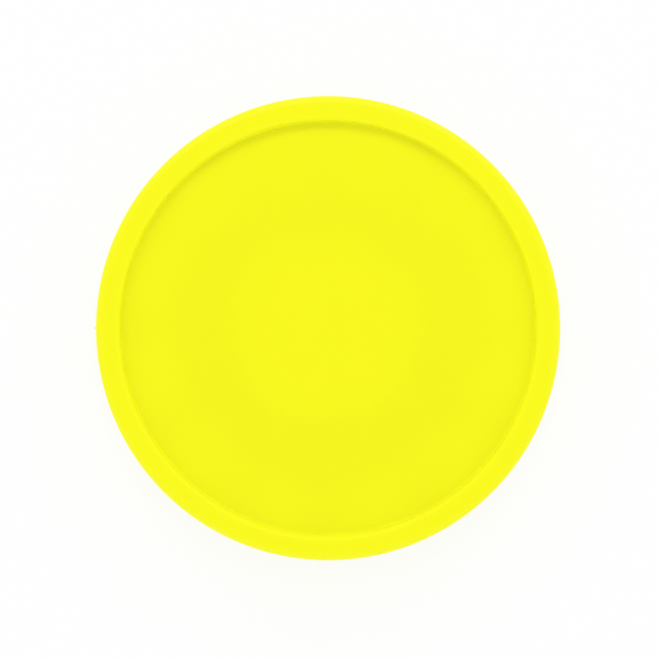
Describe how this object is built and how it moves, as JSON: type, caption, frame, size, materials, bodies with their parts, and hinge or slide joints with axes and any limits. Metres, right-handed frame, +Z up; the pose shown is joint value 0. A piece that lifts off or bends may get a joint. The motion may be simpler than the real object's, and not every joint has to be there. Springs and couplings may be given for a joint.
{
  "type": "raised pavement marker",
  "caption": "Round raised pavement marker: drafted plastic body with a raised rim and recessed flat face, epoxy filling, gritted underside and a peel-and-stick butyl pad.",
  "frame": {"origin": "centre of the release liner's underside, on the marker's centre line", "axes": "+Z up through the recessed face, away from the road; -X towards the mark of the moulding gate"},
  "size_m": [0.102, 0.1016, 0.0214],
  "materials": {
    "body_plastic": "satin, fluorescent yellow",
    "epoxy_filling": "matte, sand-filled",
    "silica_grit": "rough, loose grain",
    "butyl_mastic": "dull, tacky",
    "liner_paper": "silicone-coated, smooth"
  },
  "bodies": {
    "root": {"marker_shell": "body_plastic", "potting_core": "epoxy_filling", "grit_layer": "silica_grit", "butyl_pad": "butyl_mastic", "release_liner_left": "liner_paper", "release_liner_right": "liner_paper"}
  },
  "joints": []
}
